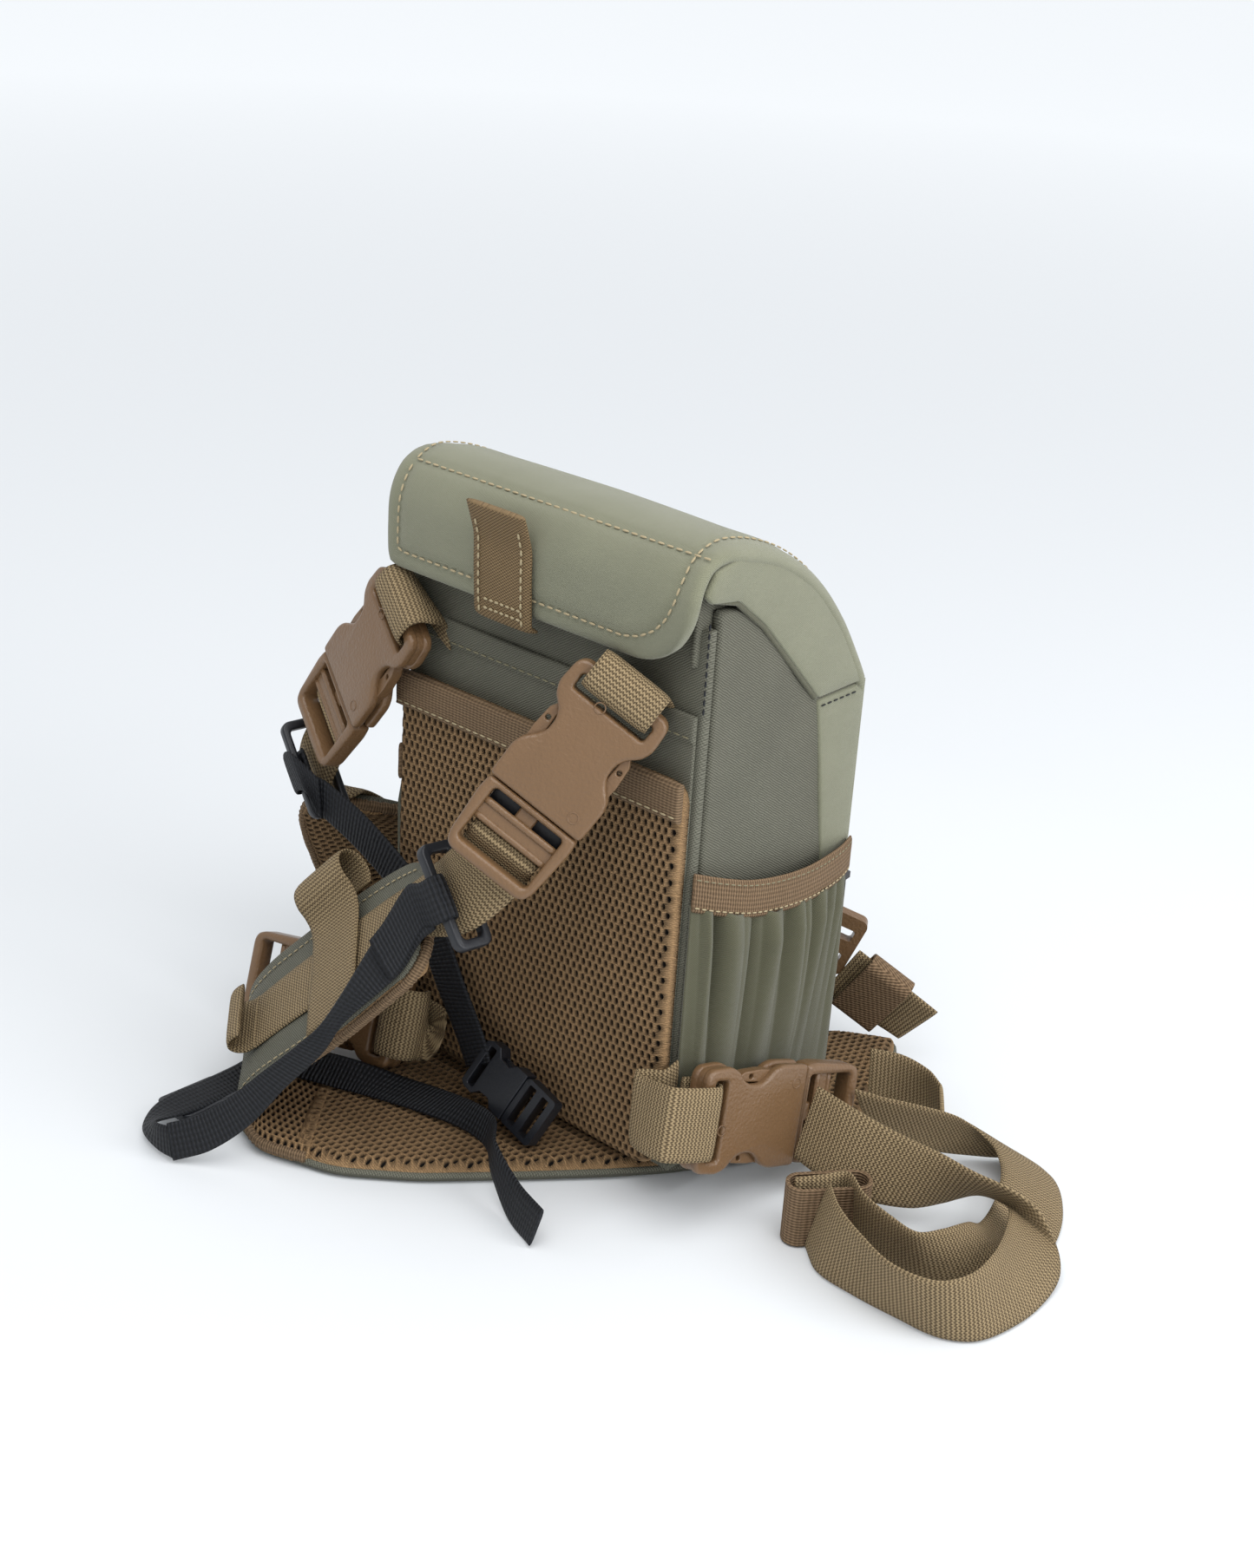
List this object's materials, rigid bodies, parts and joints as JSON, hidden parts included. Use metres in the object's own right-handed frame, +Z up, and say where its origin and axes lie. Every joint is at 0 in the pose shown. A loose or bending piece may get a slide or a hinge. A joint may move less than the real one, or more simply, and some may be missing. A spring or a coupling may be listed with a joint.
{
  "type": "binocular harness pack",
  "caption": "Upright padded chest pack for binoculars with a magnetic flap lid, spacer-mesh back, stretch side pockets and a webbing harness with side-release buckles.",
  "frame": {"origin": "on the floor plane under the middle of the shell, on the underside of the yoke pad", "axes": "+Z up, +X to the wearer's right, +Y away from the wearer"},
  "size_m": [0.3122, 0.2436, 0.23],
  "materials": {
    "cordura_shell": "woven coated nylon, soft matt",
    "sage_fabric": "soft matt laminate cloth",
    "lining": "smooth lining over foam",
    "spacer_mesh": "open knitted spacer mesh",
    "binding": "woven binding tape",
    "webbing": "coarse two-tone webbing",
    "black_webbing": "fine ribbed webbing",
    "black_plastic": "satin moulded plastic",
    "buckle_plastic": "fine spark-eroded grain",
    "zipper_metal": "black painted",
    "cord_rubber": "soft moulded",
    "magnet": "plated"
  },
  "bodies": {
    "lid": {"lid_pad": "sage_fabric", "lid_side_gussets": "cordura_shell", "lid_pull_tab": "webbing", "lid_magnets": "magnet"},
    "shoulder_buckle_right_male_half": {"shoulder_buckle_right_male": "buckle_plastic"},
    "shoulder_buckle_right_prong_a_arm": {"shoulder_buckle_right_prong_a": "buckle_plastic"},
    "shoulder_buckle_right_prong_b_arm": {"shoulder_buckle_right_prong_b": "buckle_plastic"},
    "shoulder_buckle_left_male_half": {"shoulder_buckle_left_male": "buckle_plastic"},
    "shoulder_buckle_left_prong_a_arm": {"shoulder_buckle_left_prong_a": "buckle_plastic"},
    "shoulder_buckle_left_prong_b_arm": {"shoulder_buckle_left_prong_b": "buckle_plastic"},
    "waist_buckle_right_male_half": {"waist_buckle_right_male": "buckle_plastic"},
    "waist_buckle_right_prong_a_arm": {"waist_buckle_right_prong_a": "buckle_plastic"},
    "waist_buckle_right_prong_b_arm": {"waist_buckle_right_prong_b": "buckle_plastic"},
    "waist_buckle_left_male_half": {"waist_buckle_left_male": "buckle_plastic"},
    "waist_buckle_left_prong_a_arm": {"waist_buckle_left_prong_a": "buckle_plastic"},
    "waist_buckle_left_prong_b_arm": {"waist_buckle_left_prong_b": "buckle_plastic"},
    "ring_right_slider": {"ring_right": "black_plastic"},
    "ring_left_slider": {"ring_left": "black_plastic"},
    "sternum_male_half": {"sternum_buckle_male": "black_plastic"},
    "zip_slider": {"zipper_slider": "zipper_metal"},
    "zip_pull": {"zipper_pull": "cord_rubber"},
    "pack": {"back_panel": "cordura_shell", "back_pocket_panel": "cordura_shell", "base_panel": "cordura_shell", "body_magnets": "magnet", "cross_strap_right": "webbing", "elastic_keepers": "binding", "front_adjuster": "buckle_plastic", "front_panel": "cordura_shell", "front_pocket": "cordura_shell", "mesh_back_pad": "spacer_mesh", "mesh_top_binding": "binding", "padded_liner": "lining", "shoulder_anchor_webbing_left": "webbing", "shoulder_anchor_webbing_right": "webbing", "shoulder_buckle_left_female": "buckle_plastic", "shoulder_buckle_right_female": "buckle_plastic", "shoulder_pad_left": "spacer_mesh", "shoulder_pad_right": "spacer_mesh", "shoulder_webbing_left": "webbing", "shoulder_webbing_right": "webbing", "side_panel_left": "cordura_shell", "side_panel_right": "cordura_shell", "side_pocket_band_left": "binding", "side_pocket_band_right": "binding", "side_pocket_left": "sage_fabric", "side_pocket_right": "sage_fabric", "sternum_adjuster": "black_plastic", "sternum_buckle_female": "black_plastic", "sternum_strap_left": "black_webbing", "sternum_strap_right": "black_webbing", "sternum_strap_tail": "black_webbing", "waist_anchor_webbing": "webbing", "waist_buckle_left_female": "buckle_plastic", "waist_buckle_right_female": "buckle_plastic", "waist_strap_left": "webbing", "waist_strap_right": "webbing", "waist_strap_right_return": "webbing", "yoke_pad": "spacer_mesh", "yoke_webbing_loop": "webbing"}
  },
  "joints": [
    {"name": "lid_hinge", "type": "hinge", "parent": "pack", "child": "lid", "pos_m": [0, 0.0416, 0.1664], "axis": [-1, 0, 0], "range_deg": [0, 120]},
    {"name": "shoulder_buckle_right_pull", "type": "slide", "parent": "pack", "child": "shoulder_buckle_right_male_half", "axis": [-0.296, -0.5235, -0.799], "range_m": [0, 0.031], "deforming": ["shoulder_webbing_right", "shoulder_pad_right", "cross_strap_right", "sternum_strap_right", "sternum_strap_left"]},
    {"name": "shoulder_buckle_right_prong_a_press", "type": "hinge", "parent": "shoulder_buckle_right_male_half", "child": "shoulder_buckle_right_prong_a_arm", "pos_m": [0.0404, -0.07494, 0.13882], "axis": [0.5413, -0.7811, 0.3113], "range_deg": [0, 5], "stiffness_Nm_per_rad": 0.4},
    {"name": "shoulder_buckle_right_prong_b_press", "type": "hinge", "parent": "shoulder_buckle_right_male_half", "child": "shoulder_buckle_right_prong_b_arm", "pos_m": [0.02136, -0.08318, 0.15127], "axis": [-0.5413, 0.7811, -0.3113], "range_deg": [0, 5], "stiffness_Nm_per_rad": 0.4},
    {"name": "shoulder_buckle_left_pull", "type": "slide", "parent": "pack", "child": "shoulder_buckle_left_male_half", "axis": [-0.5616, -0.0479, -0.826], "range_m": [0, 0.031], "deforming": ["shoulder_webbing_left", "shoulder_pad_left", "sternum_strap_left"]},
    {"name": "shoulder_buckle_left_prong_a_press", "type": "hinge", "parent": "shoulder_buckle_left_male_half", "child": "shoulder_buckle_left_prong_a_arm", "pos_m": [-0.07171, -0.0591, 0.13556], "axis": [-0.2442, -0.9442, 0.2209], "range_deg": [0, 5], "stiffness_Nm_per_rad": 0.4},
    {"name": "shoulder_buckle_left_prong_b_press", "type": "hinge", "parent": "shoulder_buckle_left_male_half", "child": "shoulder_buckle_left_prong_b_arm", "pos_m": [-0.09084, -0.05122, 0.1481], "axis": [0.2442, 0.9442, -0.2209], "range_deg": [0, 5], "stiffness_Nm_per_rad": 0.4},
    {"name": "waist_buckle_right_pull", "type": "slide", "parent": "pack", "child": "waist_buckle_right_male_half", "axis": [0.1717, 0.9486, -0.2659], "range_m": [0, 0.031], "deforming": ["waist_strap_right", "waist_strap_right_return", "yoke_webbing_loop"]},
    {"name": "waist_buckle_right_prong_a_press", "type": "hinge", "parent": "waist_buckle_right_male_half", "child": "waist_buckle_right_prong_a_arm", "pos_m": [0.08516, -0.00381, 0.03831], "axis": [0.9766, -0.1283, 0.1728], "range_deg": [0, 5], "stiffness_Nm_per_rad": 0.4},
    {"name": "waist_buckle_right_prong_b_press", "type": "hinge", "parent": "waist_buckle_right_male_half", "child": "waist_buckle_right_prong_b_arm", "pos_m": [0.0883, -0.01081, 0.01536], "axis": [-0.9766, 0.1283, -0.1728], "range_deg": [0, 5], "stiffness_Nm_per_rad": 0.4},
    {"name": "waist_buckle_left_pull", "type": "slide", "parent": "pack", "child": "waist_buckle_left_male_half", "axis": [-0.9909, -0.0874, -0.102], "range_m": [0, 0.031], "deforming": ["sternum_strap_left"]},
    {"name": "waist_buckle_left_prong_a_press", "type": "hinge", "parent": "waist_buckle_left_male_half", "child": "waist_buckle_left_prong_a_arm", "pos_m": [-0.08706, -0.07057, 0.01122], "axis": [0.0444, -0.9296, 0.3659], "range_deg": [0, 5], "stiffness_Nm_per_rad": 0.4},
    {"name": "waist_buckle_left_prong_b_press", "type": "hinge", "parent": "waist_buckle_left_male_half", "child": "waist_buckle_left_prong_b_arm", "pos_m": [-0.09013, -0.0619, 0.0336], "axis": [-0.0444, 0.9296, -0.3659], "range_deg": [0, 5], "stiffness_Nm_per_rad": 0.4},
    {"name": "ring_right_slide", "type": "slide", "parent": "shoulder_buckle_right_male_half", "child": "ring_right_slider", "axis": [-0.7412, -0.0048, -0.6712], "range_m": [-0.002, 0.008], "deforming": ["shoulder_webbing_right", "sternum_strap_right", "shoulder_pad_right", "sternum_strap_left"]},
    {"name": "ring_left_slide", "type": "slide", "parent": "shoulder_buckle_left_male_half", "child": "ring_left_slider", "axis": [-0.7116, 0.219, -0.6676], "range_m": [-0.002, 0.008], "deforming": ["shoulder_webbing_left", "sternum_strap_left", "shoulder_pad_left"]},
    {"name": "sternum_buckle_pull", "type": "slide", "parent": "pack", "child": "sternum_male_half", "axis": [0.9622, -0.0862, -0.2585], "range_m": [0, 0.0035], "deforming": ["sternum_strap_tail"]},
    {"name": "zipper_run", "type": "slide", "parent": "pack", "child": "zip_slider", "axis": [-1, 0, 0], "range_m": [0, 0.1]},
    {"name": "zipper_pull_swing", "type": "hinge", "parent": "zip_slider", "child": "zip_pull", "pos_m": [0.056, 0.0523, 0.086], "axis": [1, 0, 0], "range_deg": [0, 90]}
  ]
}
